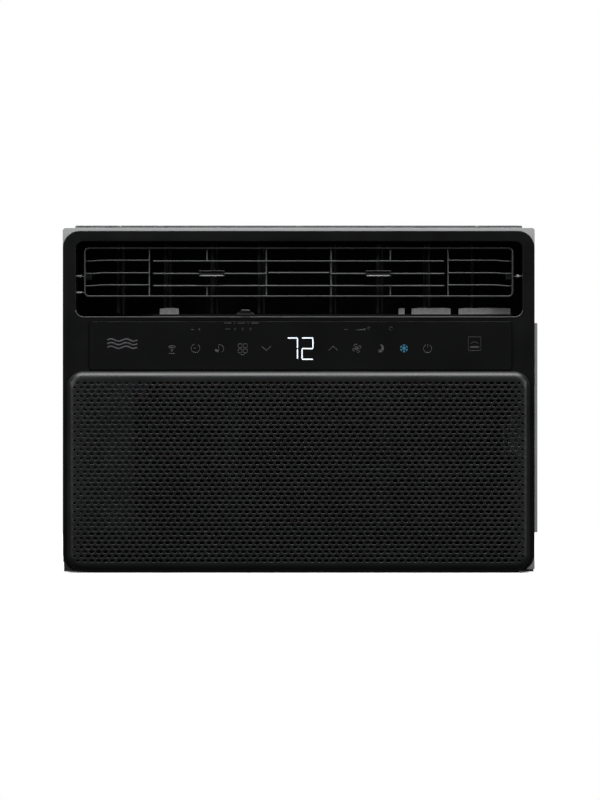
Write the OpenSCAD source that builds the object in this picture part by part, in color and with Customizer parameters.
// Window air conditioner, built from its separate pieces.
// Millimetres, +Z up, the room side faces -Y. The origin is on the surface that the base pan
// rests on, under the middle of the case.

/* [Case] */
// Width over the cabinet's side walls
cab_w = 474; // [472:1:478]
// Height of the cabinet's top above the base
cab_top = 345; // [344:0.5:350]
// Depth from the intake grille's face to the tip of the drain spigot
unit_d = 400; // [398:1:410]
// Sheet thickness of the cabinet and the bulkhead
sheet_t = 1; // [0.8:0.1:1.2]
// Sheet thickness of the base pan
pan_t = 1.5; // [1.2:0.1:1.5]
// Height of the base pan's side walls
pan_h = 33; // [28:1:36]
// Radius of the drain spigot's bore
drain_r = 6; // [4:0.5:7]

/* [Front] */
// Width of the moulded bezel
bezel_w = 470; // [469:0.5:472]
// Top edge of the bezel
bezel_top = 340.6; // [340:0.1:342]
// Corner radius of the bezel
bezel_r = 17; // [12:1:20]
// Wall thickness of the bezel
bezel_t = 2.5; // [2:0.1:2.8]
// Depth of the bezel, front wall to the cabinet
bezel_d = 50; // [48:1:52]
// How far the intake grille stands out from the bezel
grille_d = 10; // [8:0.5:12]
// Columns of air slots in the intake grille
grille_cols = 12; // [8:1:14]
// Rows of air slots in the intake grille
grille_rows = 18; // [10:1:20]

/* [Louver] */
// Height of the louver's tilt axis
louver_z = 295.5; // [295:0.1:296]
// Distance of the tilt axis behind the bezel's face
louver_in = 14; // [13.5:0.1:14.5]
// Half the width of the louver frame
louver_x = 214; // [213:0.5:215]
// Thickness of the louver's blades
blade_t = 1.8; // [1.4:0.1:2]
// Radius of the louver's pivot pins
pin_r = 1.5; // [1.2:0.1:1.6]

/* [Vanes] */
// Distance between neighbouring vertical vanes
vane_pitch = 47; // [46:0.5:48]
// Distance of the inner vane of each group from the middle
vane_first = 36; // [35:0.5:38]
// Offset of both sliders to the left of their middle place
slider_rest = 3.7; // [0:0.1:5]

/* [Air filter] */
// Left end of the filter
filter_x0 = -150; // [-150:1:-140]
// Lower edge of the filter
filter_z0 = 40; // [40:0.5:42]
// Upper edge of the filter
filter_z1 = 249; // [247:0.5:249]

/* [Fresh-air vent] */
// Middle of the vent lever's travel
lever_x = -53; // [-60:1:-45]
// Travel of the vent lever to each side
lever_travel = 10; // [8:0.5:10]
// Length of the vent door's crank
crank_r = 25; // [24:0.5:26]

/* [Fans] */
// Sideways place of the fan shaft
fan_x = 17; // [15:1:19]
// Height of the fan shaft
fan_z = 132; // [130:1:134]
// Radius of the fan shaft
shaft_r = 4; // [3:0.5:5]
// Radius of the blower wheel
blower_r = 85; // [80:1:87]
// Radius of the condenser fan's blades
cfan_r = 118; // [110:1:120]

/* [Coils] */
// Radius of the coils' copper tubes
tube_r = 4; // [3:0.5:5]
// Number of fins drawn on each coil
fin_count = 34; // [20:1:40]

/* [Compressor] */
// Radius of the compressor's shell
comp_r = 50; // [46:1:52]
// Top of the compressor's shell
comp_top = 186; // [176:1:190]

/* [Hidden] */
$fn = 48;
eps = 0.5;
cab_x = cab_w / 2;
face_y = -unit_d / 2 + grille_d;
cab_y0 = face_y + bezel_d;
cab_y1 = unit_d / 2 - 8;
pan_x = cab_x - sheet_t - 0.2;
pan_y0 = cab_y0 + sheet_t + 0.2;
pan_y1 = cab_y1 - 6;
bezel_x = bezel_w / 2;
bezel_z0 = pan_t;
louver_y = face_y + louver_in;
grille_top = 200.6;

// Outlet recess and the tunnel behind it
recess = [-222, 255, 223, 330];
recess_r = 7.5;
tunnel_d = 30;
duct_y0 = face_y + tunnel_d + 0.4;
duct_y1 = -56;
duct_t = 2;
throat = [-60, -115, 120, -60];

// Vanes
vane_y = -134;
post_arm = 19.2;
drive_arm = 10;
vane_turn = 3.1818;
vane_rest = -slider_rest * vane_turn;
slider_mid = vane_first + vane_pitch;
link_rest = 0.5215 * slider_rest;
blade_zs = [286.4, 298.5, 311];
run_gap = 0.06;

// Fresh-air vent
rod_y_front = face_y + 11;
vent_rod_z = 246;
vent_hinge = [-212, -41];
door_open = 21.8;
bulk_y = -41.5;

// Compressor
comp_c = [-160, 25];
comp_z0 = 26;
acc_c = [-82, 52];

// Places of the drain spigot in (x, z), and of the cord gland and the case screws in (y, z)
drain_at = [185, 14];
gland_at = [-122, 18];
case_screw_list = [[-60, 17], [60, 17], [160, 17]];
curtain_hole = [-128, 90, 290];
sill_hole = [150, -80, 105];

// ---------- building blocks ----------

// Box between two corners
module box_at(lo, hi) {
  translate(lo) cube(hi - lo);
}

// Rounded rectangle from its lower left and upper right corners, as [x0, z0, x1, z1]
module rrect(b, r) {
  translate([b[0] + r, b[1]]) square([b[2] - b[0] - 2 * r, b[3] - b[1]]);
  translate([b[0], b[1] + r]) square([b[2] - b[0], b[3] - b[1] - 2 * r]);
  for (x = [b[0] + r, b[2] - r], z = [b[1] + r, b[3] - r]) translate([x, z]) circle(r);
}

// The same rectangle, larger by g on every side
function grown(b, g) = [b[0] - g, b[1] - g, b[2] + g, b[3] + g];

// Stands an outline drawn in (x, z) upright and gives it the depth y0 to y1
module deep(y0, y1) {
  translate([0, y1, 0]) rotate([90, 0, 0]) linear_extrude(height = y1 - y0) children();
}

module rod_x(x0, x1, y, z, r) {
  translate([x0, y, z]) rotate([0, 90, 0]) cylinder(r = r, h = x1 - x0);
}

module rod_y(y0, y1, x, z, r) {
  translate([x, y1, z]) rotate([90, 0, 0]) cylinder(r = r, h = y1 - y0);
}

module rod_z(z0, z1, x, y, r) {
  translate([x, y, z0]) cylinder(r = r, h = z1 - z0);
}

function unit(v) = v / norm(v);

// Bent tube through the points p with true round bends of radius b
module pipe(p, r, b) {
  last = len(p) - 1;
  turn = [for (i = [0:last])
    i == 0 || i == last ? 0 : acos(unit(p[i] - p[i - 1]) * unit(p[i + 1] - p[i]))];
  cut = [for (t = turn) b * tan(t / 2)];
  for (i = [0:last - 1]) {
    u = unit(p[i + 1] - p[i]);
    seg = norm(p[i + 1] - p[i]) - cut[i] - cut[i + 1];
    side = abs(u[2]) > 0.9 ? [1, 0, 0] : [0, 0, 1];
    across = unit(cross(side, u));
    if (seg > 0.01) {
      at_basis(p[i] + u * cut[i], across, cross(u, across)) cylinder(r = r, h = seg);
    }
  }
  for (i = [1:1:last - 1]) {
    u = unit(p[i] - p[i - 1]);
    v = unit(p[i + 1] - p[i]);
    n = unit(v - (u * v) * u);
    at_basis(p[i] - u * cut[i] + n * b, -n, u)
      rotate_extrude(angle = turn[i]) translate([b, 0]) circle(r);
  }
}

// Places children at o with their X along ax and their Y along ay
module at_basis(o, ax, ay) {
  az = cross(ax, ay);
  multmatrix([
    [ax[0], ay[0], az[0], o[0]],
    [ax[1], ay[1], az[1], o[1]],
    [ax[2], ay[2], az[2], o[2]],
    [0, 0, 0, 1]]) children();
}

// Half-turn bend of a coil tube between two heights, bulging towards side (1 right, -1 left)
module u_bend(x, y, z0, z1, side) {
  b = (z1 - z0) / 2;
  at_basis([x, y, z0 + b], [0, 0, -1], [side, 0, 0])
    rotate_extrude(angle = 180) translate([b, 0]) circle(tube_r);
}

// Half-turn bend between the two rows of a coil
module cross_bend(x, y0, y1, z, side) {
  b = (y1 - y0) / 2;
  at_basis([x, y0 + b, z], [0, -1, 0], [side, 0, 0])
    rotate_extrude(angle = 180) translate([b, 0]) circle(tube_r);
}

// Upright can with domed ends
module can(c, z0, z1, r, dome) {
  ball = (r * r + dome * dome) / (2 * dome);
  translate([c[0], c[1], 0]) rotate_extrude() {
    translate([0, z0 + dome]) square([r, z1 - z0 - 2 * dome]);
    intersection() {
      translate([0, z1 - ball]) circle(ball);
      translate([0, z1 - dome]) square([r, dome]);
    }
    intersection() {
      translate([0, z0 + ball]) circle(ball);
      translate([0, z0]) square([r, dome]);
    }
  }
}

// ---------- case ----------

module base_pan() {
  lip = 15;
  front = -208;
  notch = [7.1, 10.9];
  color("#2f3133") difference() {
    union() {
      difference() {
        box_at([-pan_x, pan_y0, 0], [pan_x, pan_y1, pan_h]);
        box_at([-pan_x + pan_t, pan_y0 + pan_t, pan_t], [pan_x - pan_t, pan_y1 - pan_t, pan_h + eps]);
        box_at([-pan_x + pan_t, pan_y0 - eps, lip], [pan_x - pan_t, pan_y0 + pan_t + eps, pan_h + eps]);
      }
      // Tongue under the front
      box_at([front, face_y + 4, 0], [front + 428, pan_y0, pan_t]);
      // Stiffening ribs under the motor
      for (x = [60, 120]) box_at([x, -20, pan_t], [x + 12, 80, pan_t + 2]);
    }
    rod_y(pan_y1 - 2 * pan_t, pan_y1 + eps, drain_at[0], drain_at[1], drain_r - 1);
    for (x = [-sill_hole[0], sill_hole[0]], y = [sill_hole[1], sill_hole[2]])
      rod_z(-eps, pan_t + eps, x, y, 2.6);
    for (side = [-1, 1], s = case_screw_list)
      rod_x(side * pan_x - 3, side * pan_x + 3, s[0], s[1], 2.2);
    // Open notch that the cord gland drops into
    box_at([-pan_x - eps, gland_at[0] - notch[0], notch[1]],
      [-pan_x + pan_t + eps, gland_at[0] + notch[0], pan_h + eps]);
  }
}

module drain_spigot() {
  color("#2b2b2d") difference() {
    union() {
      rod_y(pan_y1, unit_d / 2, drain_at[0], drain_at[1], drain_r + 2);
      rod_y(pan_y1, pan_y1 + 2.5, drain_at[0], drain_at[1], drain_r + 5);
    }
    rod_y(pan_y1 - eps, unit_d / 2 + eps, drain_at[0], drain_at[1], drain_r);
  }
}

module cabinet() {
  flange = 8;
  slot_rows = 14;
  slot_cols = 18;
  color("#8d8e8f") difference() {
    difference() {
      deep(cab_y0, cab_y1) rrect([-cab_x, -20, cab_x, cab_top], 3);
      deep(cab_y0 + sheet_t, cab_y1 + eps)
        rrect([-cab_x + sheet_t, -21, cab_x - sheet_t, cab_top - sheet_t], 2);
      // Opening inside the folded front flange
      box_at([-cab_x + flange, cab_y0 - eps, -21], [cab_x - flange, cab_y0 + 2, cab_top - flange]);
      box_at([-cab_x - eps, cab_y0 - eps, -21], [cab_x + eps, cab_y1 + eps, 2]);
    }
    // Notch around the cord gland
    box_at([-cab_x - eps, cab_y0 - eps, 0], [-cab_x + flange + eps, -104, 34]);
    // Air slots over the condenser
    for (side = [-1, 1], row = [0:slot_rows - 1], col = [0:1]) {
      y = 70 + col * 58;
      z = 84 + row * 16;
      box_at([side * cab_x - 3, y, z], [side * cab_x + 3, y + 46, z + 4]);
    }
    for (col = [0:slot_cols - 1], row = [0:1]) {
      x = -196 + col * 22.8;
      y = 76 + row * 52;
      box_at([x, y, cab_top - 3], [x + 4, y + 42, cab_top + 3]);
    }
    for (side = [-1, 1]) {
      for (s = case_screw_list) rod_x(side * cab_x - 3, side * cab_x + 3, s[0], s[1], 2.2);
      for (z = [curtain_hole[1], curtain_hole[2]])
        rod_x(side * cab_x - 3, side * cab_x + 3, curtain_hole[0], z, 1.9);
    }
    for (x = [-180, 0, 180]) rod_z(cab_top - 3, cab_top + 3, x, -112, 1.8);
  }
}

module top_rail() {
  color("#26282a") difference() {
    union() {
      box_at([-225, -124, cab_top], [225, -100, cab_top + 1.2]);
      box_at([-225, -101.2, cab_top], [225, -100, cab_top + 3.4]);
      box_at([-225, -124, cab_top], [225, -122.8, cab_top + 2.2]);
    }
    for (x = [-180, 0, 180]) rod_z(cab_top - eps, cab_top + 2, x, -112, 1.8);
  }
}

module rear_grille() {
  cols = 4;
  rows = 21;
  slot = [100, 9];
  pitch = [108, 13.4];
  edge = [cab_x - sheet_t - 0.4, cab_top - sheet_t - 0.4];
  color("#2c2d2f") difference() {
    deep(pan_y1 - 1.2, pan_y1) rrect([-edge[0], pan_h + 1, edge[0], edge[1]], 3);
    for (col = [0:cols - 1], row = [0:rows - 1]) {
      x = -212 + col * pitch[0];
      z = 50 + row * pitch[1];
      box_at([x, pan_y1 - 3, z], [x + slot[0], pan_y1 + eps, z + slot[1]]);
    }
  }
}

// ---------- front ----------

module bezel_outline(g) {
  rrect(grown([-bezel_x, bezel_z0, bezel_x, bezel_top], g), bezel_r + g);
}

module front_bezel() {
  slot_y = [face_y + 16.4, face_y + 25.6];
  color("#161718") difference() {
    union() {
      difference() {
        deep(face_y, cab_y0) bezel_outline(0);
        deep(face_y + bezel_t, cab_y0 + eps) bezel_outline(-bezel_t);
      }
      deep(face_y, face_y + tunnel_d) rrect(grown(recess, bezel_t), recess_r + bezel_t);
      // Guide rails of the air filter, with three posts under the lower one
      box_at([-152, slot_y[0] - 1.4, 33], [bezel_x - 1, slot_y[1] + 1.4, 44]);
      box_at([-152, slot_y[0] - 1.4, 244], [bezel_x - 1, slot_y[1] + 1.4, 253]);
      for (x = [-150, 40, 225]) box_at([x, slot_y[0], 3], [x + 3, slot_y[1], 34]);
    }
    deep(face_y - eps, face_y + tunnel_d + eps) rrect(recess, recess_r);
    // Window behind the intake grille, the pocket of the fascia and the light window in it
    deep(face_y - eps, face_y + bezel_t + 0.1) rrect([-222, 12, 222, 196], 10);
    deep(face_y - eps, face_y + 1.3) rrect(grown(fascia_box(), 0.4), 3.4);
    box_at([-130, face_y, 212], [140, face_y + bezel_t + 0.1, 240]);
    // Grooves of the filter and its way out through the right wall
    box_at([-153, slot_y[0], filter_z0 - 0.4], [bezel_x + eps, slot_y[1], filter_z1 + 0.4]);
    box_at([bezel_x - 6, face_y + 11, 112], [bezel_x + eps, slot_y[1], 156]);
    // Pivot holes of the louver and the arc of its stop pin
    rod_x(-226, 227, louver_y, louver_z, pin_r + run_gap);
    translate([-220, louver_y, louver_z]) rotate([0, -90, 0]) rotate([0, 0, -26])
      translate([0, 0, -eps]) rotate([0, 0, 180])
      rotate_extrude(angle = 52) translate([stop_arm - pin_r - 0.4, 0]) square([2 * pin_r + 0.8, 8]);
    // Slot of the vent lever in the tunnel's floor
    box_at([lever_x - lever_travel - 2.6, rod_y_front - 2.5, 250],
      [lever_x + lever_travel + 2.6, rod_y_front + 2.5, 256]);
  }
}

function fascia_box() = [-208.5, 202.2, 212, 250.1];

grille_outline = [-230.6, bezel_z0, 230.4, grille_top];
grille_wall = 2.5;

module intake_grille() {
  field = [416, 172];
  bar = [3, 2.6];
  pitch = [field[0] / grille_cols, field[1] / grille_rows];
  color("#1b1c1d") difference() {
    deep(-unit_d / 2, -unit_d / 2 + grille_wall) rrect(grille_outline, 16);
    for (col = [0:grille_cols - 1], row = [0:grille_rows - 1]) {
      x = -field[0] / 2 + col * pitch[0] + bar[0] / 2;
      z = 15 + row * pitch[1] + bar[1] / 2;
      box_at([x, -unit_d / 2 - eps, z],
        [x + pitch[0] - bar[0], -unit_d / 2 + 3, z + pitch[1] - bar[1]]);
    }
  }
}

// Returned edge of the intake grille, which stands on the bezel
module grille_rim() {
  color("#1b1c1d") difference() {
    deep(-unit_d / 2 + grille_wall, face_y) rrect(grille_outline, 16);
    deep(-unit_d / 2, face_y + eps) rrect(grown(grille_outline, -grille_wall), 13.5);
  }
}

module control_fascia() {
  color("#0c0d0e") deep(face_y - 1.2, face_y + 1.3) rrect(fascia_box(), 3);
}

module display_board() {
  y = face_y + bezel_t + 1.1;
  color("#1f5a3a") box_at([-160, y, 208], [165, y + 1.6, 243]);
  color("#e8e8e4") box_at([-13, face_y + 1.5, 213], [17, y, 235]);
  for (x = [-126:24:130]) {
    if (abs(x) > 20) color("#d8d0a0") box_at([x - 2.5, face_y + 1.6, 221], [x + 2.5, y, 226]);
  }
}

// ---------- air path ----------

module outlet_duct() {
  outer = grown(recess, duct_t);
  color("#1a1b1c") difference() {
    union() {
      deep(duct_y0, duct_y1) rrect(outer, recess_r + duct_t);
      for (x = vane_xs()) rod_z(outer[1] - 2, outer[3] + 2, x, vane_y, 4);
    }
    deep(duct_y0 - eps, duct_y1 - duct_t) rrect(recess, recess_r);
    box_at([throat[0], throat[1], 250], [throat[2], throat[3], 256]);
    for (x = vane_xs()) rod_z(outer[1] - 3, outer[3] + 3, x, vane_y, pin_r + run_gap);
  }
}

function vane_xs() = [for (side = [-1, 1], i = [0:3]) side * (vane_first + i * vane_pitch)];

// Volute outline around the fan axis, opening upwards into the duct's throat
module volute(g) {
  start = acos((throat[0] - g - fan_x) / (95 + g));
  spiral = [for (i = [0:24]) let (a = start + (360 - start) * i / 24,
    r = 95 + g + (throat[2] - fan_x - 95) * i / 24) [fan_x + r * cos(a), fan_z + r * sin(a)]];
  polygon(concat(spiral, [[throat[2] + g, recess[1] - duct_t], [throat[0] - g, recess[1] - duct_t]]));
}

module scroll_housing() {
  color("#3a3b3d") difference() {
    deep(-118, -45) volute(2);
    deep(-116, -47) intersection() {
      volute(0);
      translate([-200, 0]) square([400, 252.9]);
    }
    box_at([throat[0], -115, 250], [throat[2], -60, 254]);
    rod_y(-119, -115, fan_x, fan_z, 62);
    rod_y(-48, -44, fan_x, fan_z, 14);
  }
}

module bulkhead() {
  x1 = pan_x - 1;
  ears = [[206, 211.3], [252.7, 258]];
  bores = [[208.2, 212], [252, 255.8]];
  color("#a3a5a7") difference() {
    union() {
      deep(bulk_y, bulk_y + 1.5) difference() {
        translate([-x1, 2]) square([2 * x1, cab_top - sheet_t - 2.6]);
        for (side = [-1, 1]) translate([side * x1, 2]) square([6, 2 * pan_h], center = true);
        translate([-217, 211]) square([62, 42]);
        translate([fan_x, fan_z]) circle(16);
        translate([-148, 220]) circle(5.5);
        translate([-132, 240]) circle(4);
      }
      // Hinge ears of the vent door
      for (z = ears)
        box_at([vent_hinge[0] - 5, bulk_y - 3.5, z[0]], [vent_hinge[0] + 5, bulk_y + 4, z[1]]);
    }
    for (z = bores) rod_z(z[0], z[1], vent_hinge[0], vent_hinge[1], pin_r + run_gap);
  }
}

module drain_tray() {
  color("#1b1c1d") difference() {
    box_at([-158, -162, 15], [226, -121, 27]);
    box_at([-156, -160, 17], [224, -123, 28]);
  }
}

module fan_shroud() {
  color("#26282a") {
    deep(122, 123.5) difference() {
      translate([-205, 4]) square([431, 332]);
      translate([fan_x, fan_z]) circle(126);
    }
    deep(98, 123.5) translate([fan_x, fan_z]) difference() {
      circle(126);
      circle(124);
    }
  }
}

// ---------- fans ----------

module fan_motor() {
  color("#7a7c7e") difference() {
    union() {
      rod_y(-30, 20, fan_x, fan_z, 50);
      rod_y(-34, 24, fan_x, fan_z, 38);
    }
    rod_y(-35, 25, fan_x, fan_z, shaft_r + run_gap);
  }
}

module motor_bracket() {
  color("#a3a5a7") {
    difference() {
      box_at([fan_x - 62, bulk_y + 1.5, fan_z - 62], [fan_x + 62, bulk_y + 3.5, fan_z + 62]);
      rod_y(bulk_y, bulk_y + 5, fan_x, fan_z, 40);
    }
    for (sx = [-1, 1], sz = [-1, 1]) {
      at = [fan_x + sx * 33, fan_z + sz * 33];
      rod_y(bulk_y + 3.5, -30, at[0], at[1], 3);
    }
  }
}

module motor_shaft() {
  color("#c8cacc") rod_y(-82, 114, fan_x, fan_z, shaft_r);
}

module blower_wheel() {
  slats = 32;
  color("#34363a") difference() {
    union() {
      rod_y(-56, -54, fan_x, fan_z, blower_r);
      rod_y(-78, -54, fan_x, fan_z, 11);
      deep(-112, -109) translate([fan_x, fan_z]) difference() {
        circle(blower_r);
        circle(blower_r - 13);
      }
      translate([fan_x, 0, fan_z]) for (i = [0:slats - 1]) rotate([0, i * 360 / slats, 0])
        translate([blower_r - 7, -83, 0]) rotate([0, 35, 0]) cube([11, 58, 1.2], center = true);
    }
    rod_y(-79, -53, fan_x, fan_z, shaft_r + 0.02);
  }
}

module condenser_fan() {
  blades = 5;
  color("#3a3c40") difference() {
    union() {
      rod_y(92, 112, fan_x, fan_z, 26);
      translate([fan_x, 102, fan_z]) for (i = [0:blades - 1]) rotate([0, i * 360 / blades, 0])
        rotate([28, 0, 0]) translate([22, -1, -33]) cube([cfan_r - 30, 2, 66]);
      deep(98, 106) translate([fan_x, fan_z]) difference() {
        circle(cfan_r + 2);
        circle(cfan_r - 10);
      }
    }
    rod_y(91, 113, fan_x, fan_z, shaft_r + 0.02);
  }
}

// ---------- coils ----------

// Row of thin fins with clearance holes for the tubes at every (y, z) place
module fins(x0, x1, lo, hi, ys, zs) {
  difference() {
    for (i = [0:fin_count - 1]) {
      x = x0 + (x1 - x0) * i / (fin_count - 1);
      box_at([x - 0.4, lo[0], lo[1]], [x + 0.4, hi[0], hi[1]]);
    }
    for (y = ys, z = zs) rod_x(x0 - 2, x1 + 2, y, z, tube_r + 0.05);
  }
}

evap_ys = [-151, -134];
evap_zs = [for (i = [0:5]) 50 + 34 * i];
evap_ends = [-140, 205];

module evaporator_fins() {
  color("#b9bcbf") fins(-135, 200, [-160, 30], [-125, 236], evap_ys, evap_zs);
}

module evaporator_tubes() {
  color("#b5704a") {
    for (y = evap_ys) {
      for (z = evap_zs) rod_x(evap_ends[0], evap_ends[1], y, z, tube_r);
      for (i = [0, 2, 4]) u_bend(evap_ends[1], y, evap_zs[i], evap_zs[i + 1], 1);
      for (i = [1, 3]) u_bend(evap_ends[0], y, evap_zs[i], evap_zs[i + 1], -1);
    }
    cross_bend(evap_ends[0], evap_ys[0], evap_ys[1], evap_zs[0], -1);
  }
}

cond_ys = [150, 170];
cond_zs = [for (i = [0:7]) 35 + 40 * i];
cond_ends = [-190, 190];

module condenser_fins() {
  color("#a9acaf") fins(-185, 185, [140, 18], [176.5, 330], cond_ys, cond_zs);
}

module condenser_tubes() {
  color("#b5704a") {
    for (y = cond_ys) {
      for (z = cond_zs) rod_x(cond_ends[0], cond_ends[1], y, z, tube_r);
      for (i = [0, 2, 4, 6]) u_bend(cond_ends[1], y, cond_zs[i], cond_zs[i + 1], 1);
      for (i = [1, 3, 5]) u_bend(cond_ends[0], y, cond_zs[i], cond_zs[i + 1], -1);
    }
    cross_bend(cond_ends[0], cond_ys[0], cond_ys[1], cond_zs[0], -1);
    // Liquid line down to the filter drier
    pipe([[-190, 170, 315], [-222, 170, 315], [-222, 170, 44], [-222, 104, 44],
      [-208, 104, 44], [-208, 104, 57]], 3, 6);
  }
}

module discharge_pipe() {
  color("#b5704a") pipe([[-138, 52, 179.3], [-138, 52, 262], [-222, 52, 262], [-222, 150, 262],
    [-222, 150, 315], [-190, 150, 315]], 3.5, 10);
}

module suction_pipe() {
  color("#a8663f") pipe([[-140, -134, 220], [-148, -134, 220], [-148, 16, 220], [-82, 16, 220],
    [-82, 52, 220], [-82, 52, 182]], 4, 7);
}

module capillary_tube() {
  color("#b5704a") pipe([[-208, 104, 133], [-208, 104, 240], [-132, 104, 240], [-132, -116, 240],
    [-162, -116, 240], [-162, -151, 240], [-162, -151, 220], [-140, -151, 220]], 1.5, 6);
}

module filter_drier() {
  color("#b98a60") can([-208, 104], 57, 133, 9, 3);
}

// ---------- compressor ----------

ear_angles = [90, 210, 330];
ear_arm = 62;
function ear(a) = [comp_c[0] + ear_arm * cos(a), comp_c[1] + ear_arm * sin(a)];

module compressor_shell() {
  color("#1d1e20") difference() {
    union() {
      can(comp_c, comp_z0 - 2, comp_top, comp_r, 20);
      translate([0, 0, 25]) linear_extrude(height = 3) for (a = ear_angles) {
        translate(comp_c) rotate(a) translate([0, -11]) square([ear_arm, 22]);
        translate(ear(a)) circle(12);
      }
    }
    for (a = ear_angles) rod_z(24, 29, ear(a)[0], ear(a)[1], 5);
  }
}

module terminal_cover() {
  color("#2b2b2d") difference() {
    rod_z(comp_top - 3, 204, comp_c[0], comp_c[1], 19);
    can(comp_c, comp_z0 - 2, comp_top, comp_r, 20);
  }
}

module compressor_feet() {
  color("#1a1a1a") for (a = ear_angles) difference() {
    union() {
      rod_z(pan_t, 25, ear(a)[0], ear(a)[1], 11);
      rod_z(25, 28, ear(a)[0], ear(a)[1], 4.9);
      rod_z(28, 31, ear(a)[0], ear(a)[1], 8);
    }
    rod_z(1, 32, ear(a)[0], ear(a)[1], 3.1);
  }
}

module compressor_bolts() {
  color("#c4c6c8") for (a = ear_angles) {
    rod_z(pan_t, 38, ear(a)[0], ear(a)[1], 3);
    rod_z(31, 32.2, ear(a)[0], ear(a)[1], 9);
    translate([ear(a)[0], ear(a)[1], 32.2]) cylinder(r = 5.8, h = 5, $fn = 6);
  }
}

module accumulator() {
  color("#1d1e20") {
    can(acc_c, 70, 182, 21, 9);
    pipe([[acc_c[0], acc_c[1], 90], [acc_c[0], acc_c[1], 52], [acc_c[0], comp_c[1], 52],
      [comp_c[0] + comp_r + 0.4, comp_c[1], 52]], 4, 8);
  }
}

// ---------- controls ----------

module control_box() {
  color("#9fa1a3") difference() {
    box_at([-228, -118, 40], [-165, -60, 200]);
    box_at([-227, -117, 41], [-166, -61, 201]);
    for (z = [60:14:180]) box_at([-167, -105, z], [-164, -75, z + 4]);
  }
}

module control_board() {
  color("#1f5a3a") box_at([-225, -114, 50], [-223.4, -64, 190]);
  color("#202224") {
    box_at([-223.4, -108, 150], [-207, -88, 176]);
    box_at([-223.4, -84, 152], [-213, -70, 172]);
    box_at([-223.4, -106, 60], [-215, -72, 74]);
  }
}

module run_capacitor() {
  color("#b8babc") {
    can([-189, -88], 41, 132, 20, 4);
    for (x = [-195, -183]) box_at([x - 3, -88.4, 131], [x + 3, -87.6, 142]);
  }
}

module room_sensor() {
  color("#404244") {
    box_at([-161, -164, 60], [-151, -161, 174]);
    box_at([-161, -168, 60], [-151, -164, 82]);
    for (z = [66, 164]) box_at([-151, -163, z], [-133, -160, z + 6]);
  }
  color("#c4c6c8") rod_y(-169.4, -168, -156, 78, 2.6);
}

module cord_gland() {
  flange_r = 9.5;
  tip = -cab_x + 12;
  color("#111214") difference() {
    union() {
      rod_x(-cab_x, -cab_x + 1, gland_at[0], gland_at[1], flange_r);
      rod_x(-cab_x + 0.5, tip, gland_at[0], gland_at[1], 7);
      rod_x(-pan_x + pan_t, tip, gland_at[0], gland_at[1], flange_r);
    }
    rod_x(-cab_x - 1, tip + 1, gland_at[0], gland_at[1], 4.5);
  }
}

module case_screws() {
  color("#c4c6c8") {
    for (side = [-1, 1], s = case_screw_list) {
      tip = side * (cab_x - 8);
      face = side * cab_x;
      rod_x(min(tip, face), max(tip, face), s[0], s[1], 2);
      rod_x(min(face, face + side * 1.5), max(face, face + side * 1.5), s[0], s[1], 4);
    }
    for (x = [-180, 0, 180]) {
      rod_z(cab_top - 6, cab_top + 1.2, x, -112, 1.6);
      rod_z(cab_top + 1.2, cab_top + 2.6, x, -112, 3.6);
    }
  }
}

// ---------- louver ----------

louver_box = [-louver_x, 274.5, louver_x, 324.2];
// Distance of the stop pin under the tilt axis
stop_arm = 16.2;

// Depth range and wall of the louver's moulding
louver_ys = [louver_y - 10, louver_y + 10];
louver_wall = 1.8;
// Gap between the ring and the ribs that stand on the blades
rib_gap = 0.2;
rib_t = 1.6;
boss_r = 3.8;

// Box of a louver rib at x between two heights
module louver_rib(x, z0, z1) {
  box_at([x - rib_t / 2, louver_ys[0] + 2, z0], [x + rib_t / 2, louver_ys[1] - 2, z1]);
}

module louver_frame() {
  half = blade_t / 2;
  low = louver_box[1] + louver_wall + rib_gap;
  high = louver_box[3] - louver_wall - rib_gap;
  color("#1e1f21") {
    difference() {
      union() {
        deep(louver_ys[0], louver_ys[1]) difference() {
          rrect(louver_box, 5);
          rrect(grown(louver_box, -louver_wall), 5 - louver_wall);
        }
        // Bosses that hold the pins
        for (side = [-1, 1])
          rod_x(side * (louver_x - 4.5) - 3, side * (louver_x - 4.5) + 3, louver_y, louver_z, boss_r);
      }
      for (side = [-1, 1])
        rod_x(side * (louver_x - 3) - 4, side * (louver_x - 3) + 4, louver_y, louver_z, pin_r + 0.02);
      rod_x(-louver_x - 1, -louver_x + louver_wall + 1, louver_y, louver_z - stop_arm, pin_r + 0.02);
      // Flat where the middle blade lies on each boss
      box_at([-louver_x + louver_wall, louver_ys[0], blade_zs[1] - half],
        [louver_x - louver_wall, louver_ys[1], blade_zs[1] + half]);
    }
    // Full-height ribs, cut where the blades cross them
    for (x = [-150, -32.3, 32.3, 150]) {
      louver_rib(x, low, blade_zs[0] - half);
      for (i = [0:1]) louver_rib(x, blade_zs[i] + half, blade_zs[i + 1] - half);
      louver_rib(x, blade_zs[2] + half, high);
    }
    // Short ribs of the outer cells
    for (x = [-91.5, 91.5]) {
      louver_rib(x, low, blade_zs[0] - half);
      louver_rib(x, blade_zs[2] + half, high);
    }
  }
}

module louver_blades() {
  end = louver_x - louver_wall;
  color("#1e1f21") for (z = blade_zs) {
    // Flat blade with a round front edge
    box_at([-end, louver_ys[0] + 1, z - blade_t / 2], [end, louver_ys[1] - 2, z + blade_t / 2]);
    rod_x(-end, end, louver_ys[0] + 1, z, blade_t / 2);
  }
}

module louver_pins() {
  stop_z = louver_z - stop_arm;
  // Middle of the collars beside the recess's walls
  collar_x = louver_x + 5.2;
  color("#c8cacc") {
    for (side = [-1, 1]) {
      rod_x(side * 215.8 - 8, side * 215.8 + 8, louver_y, louver_z, pin_r);
      rod_x(side * collar_x - 1.7, side * collar_x + 1.7, louver_y, louver_z, 1.9);
    }
    rod_x(-223.8, -louver_x + 1.8, louver_y, stop_z, pin_r);
    rod_x(-collar_x - 1.7, -collar_x + 1.7, louver_y, stop_z, 1.9);
  }
}

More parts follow.
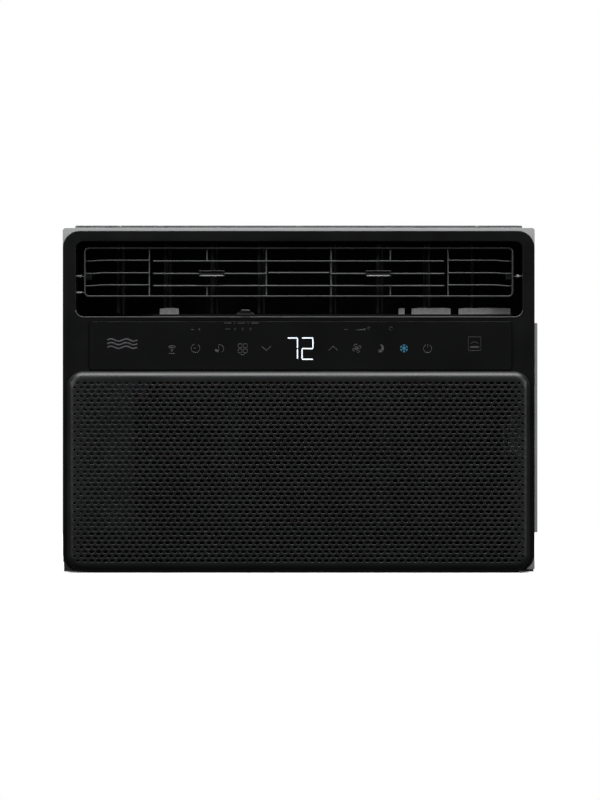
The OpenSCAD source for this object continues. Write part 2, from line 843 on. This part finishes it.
module vane_slider(side) {
  c = side * slider_mid - slider_rest;
  z = blade_zs[1];
  gap = 0.35;
  jaw = blade_t / 2 + gap;
  y = [louver_y - 12.5, louver_y + 10.5];
  color("#242527") translate([c, 0, 0]) {
    difference() {
      box_at([-12.75, y[0], z - 2.9], [12.75, y[0] + 9, z + 2.5]);
      box_at([-13, louver_y - 10.3, z - jaw], [13, y[0] + 10, z + jaw]);
      // Hollow above the thumb face
      box_at([-11.25, y[0] - 1, z - 1], [11.25, y[0] + 1.3, z + 1.3]);
    }
    for (s = [-1, 1]) {
      box_at([-8, y[0] + 8, s > 0 ? z + jaw : z - jaw - 1.3],
        [8, y[1], s > 0 ? z + jaw + 1.3 : z - jaw]);
    }
    box_at([-8, louver_y + 8.5, z - jaw - 1.3], [8, y[1], z + jaw + 1.3]);
    for (s = [-1, 1])
      box_at([s * 2.5 - 0.6, y[1] - 0.5, z - 3], [s * 2.5 + 0.6, louver_y + 30, z + 3]);
  }
}

// ---------- vanes ----------

module vane(x) {
  z = [recess[1] + 4, recess[3] - 1];
  color("#17181a") translate([x, vane_y, 0]) rotate([0, 0, vane_rest]) {
    difference() {
      box_at([-0.6, -post_arm, z[0]], [0.6, 14, z[1]]);
      box_at([-1, -post_arm - 2, 280], [1, -8, 315]);
    }
    rod_z(z[0], z[1], 0, -post_arm, 1.5);
    rod_z(z[0], z[1], 0, 0, 2.5);
    rod_z(recess[1] - duct_t - 2, recess[3] + duct_t + 2, 0, 0, pin_r);
    rod_z(recess[1] + 0.8, z[0] + 1, 0, drive_arm, 1.2);
  }
}

module vane_link(side) {
  z = recess[1] + 1.5;
  xs = [for (i = [0:3]) side * (vane_first + i * vane_pitch) + link_rest];
  color("#26282a") difference() {
    box_at([min(xs) - 8, vane_y + 5, z], [max(xs) + 8, vane_y + 15, z + 2]);
    for (x = xs, y = [-0.75, 0.75]) rod_z(z - 1, z + 3, x, vane_y + 9.1 + y, 1.6);
    for (x = xs) box_at([x - 1.6, vane_y + 8.35, z - 1], [x + 1.6, vane_y + 9.85, z + 3]);
  }
}

// ---------- fresh-air vent ----------

module vent_lever() {
  color("#101112") {
    box_at([lever_x - 9, rod_y_front - 7, 255.4], [lever_x + 9, rod_y_front + 1.8, 258]);
    translate([lever_x, rod_y_front - 2.6, 258]) rotate([90, 0, 90])
      translate([0, 0, -9]) linear_extrude(height = 18)
      polygon([[-4.4, 0], [4.4, 0], [1.6, 4], [-1.6, 4]]);
    box_at([lever_x - 2, rod_y_front - 2, vent_rod_z - 3.4], [lever_x + 2, rod_y_front + 2, 255.5]);
  }
}

module vent_link() {
  corner = [vent_hinge[0], rod_y_front, vent_rod_z];
  pin_y = vent_hinge[1] - crank_r;
  color("#b0b2b4") {
    pipe([[lever_x - 2, rod_y_front, vent_rod_z], corner, [vent_hinge[0], pin_y + 2, vent_rod_z]], 2, 6);
    rod_z(vent_rod_z - 9.5, vent_rod_z, vent_hinge[0], pin_y, pin_r);
  }
}

module vent_door() {
  color("#2b2d30") translate([vent_hinge[0], vent_hinge[1], 0]) {
    rod_z(208.5, 255.5, 0, 0, pin_r);
    rod_z(211.6, 252.4, 0, 0, 3);
    rotate([0, 0, door_open]) box_at([0, -0.75, 213], [54, 0.75, 251]);
    difference() {
      box_at([-3.5, -crank_r - 6, 237.5], [3.5, 0, 240.5]);
      box_at([-1.9, -crank_r - 3.8, 237], [1.9, -crank_r + 1.8, 241]);
    }
  }
}

// ---------- air filter ----------

filter_y = [face_y + 17, face_y + 25];

module filter_frame() {
  x1 = bezel_x + 0.3;
  b = 6;
  color("#202224") {
    difference() {
      box_at([filter_x0, filter_y[0], filter_z0], [x1, filter_y[1], filter_z1]);
      box_at([filter_x0 + b, filter_y[0] - eps, filter_z0 + b],
        [x1 - b, filter_y[1] + eps, filter_z1 - b]);
    }
    for (z = [96, 146, 175])
      box_at([filter_x0 + 2, filter_y[0], z], [x1 - 2, filter_y[1] - 1, z + 5]);
    for (x = [-67, 85])
      box_at([x - 8, filter_y[0] + 1, filter_z0 + 2], [x + 8, filter_y[1] - 1, filter_z1 - 2]);
  }
}

module filter_mesh() {
  color("#101112")
    box_at([filter_x0 + 6, filter_y[0] + 7.2, filter_z0 + 6],
      [bezel_x - 6, filter_y[0] + 7.6, filter_z1 - 6]);
}

module filter_tab() {
  cup = [204, 114, 224, 154];
  color("#b9babc") {
    box_at([bezel_x + 0.3, filter_y[0] - 2, filter_z0], [bezel_x + 3.4, filter_y[1] + 2, filter_z1]);
    difference() {
      deep(filter_y[0] - 4, filter_y[0]) rrect(cup, 8);
      deep(filter_y[0] - 5, filter_y[0] - 1.2) rrect(grown(cup, -2), 6);
    }
  }
}

base_pan();
drain_spigot();
cabinet();
top_rail();
rear_grille();
front_bezel();
intake_grille();
grille_rim();
control_fascia();
display_board();
outlet_duct();
scroll_housing();
bulkhead();
drain_tray();
fan_shroud();
fan_motor();
motor_bracket();
evaporator_fins();
evaporator_tubes();
condenser_fins();
condenser_tubes();
compressor_shell();
terminal_cover();
compressor_feet();
compressor_bolts();
accumulator();
discharge_pipe();
suction_pipe();
capillary_tube();
filter_drier();
control_box();
control_board();
run_capacitor();
room_sensor();
cord_gland();
case_screws();
louver_frame();
louver_blades();
louver_pins();
vane_slider(-1);  // vane_slider_left
vane_slider(1);  // vane_slider_right
vane(vane_xs()[0]);  // vane_left_1
vane(vane_xs()[1]);  // vane_left_2
vane(vane_xs()[2]);  // vane_left_3
vane(vane_xs()[3]);  // vane_left_4
vane(vane_xs()[4]);  // vane_right_1
vane(vane_xs()[5]);  // vane_right_2
vane(vane_xs()[6]);  // vane_right_3
vane(vane_xs()[7]);  // vane_right_4
vane_link(-1);  // vane_link_left
vane_link(1);  // vane_link_right
vent_lever();
vent_link();
vent_door();
motor_shaft();
blower_wheel();
condenser_fan();
filter_frame();
filter_mesh();
filter_tab();
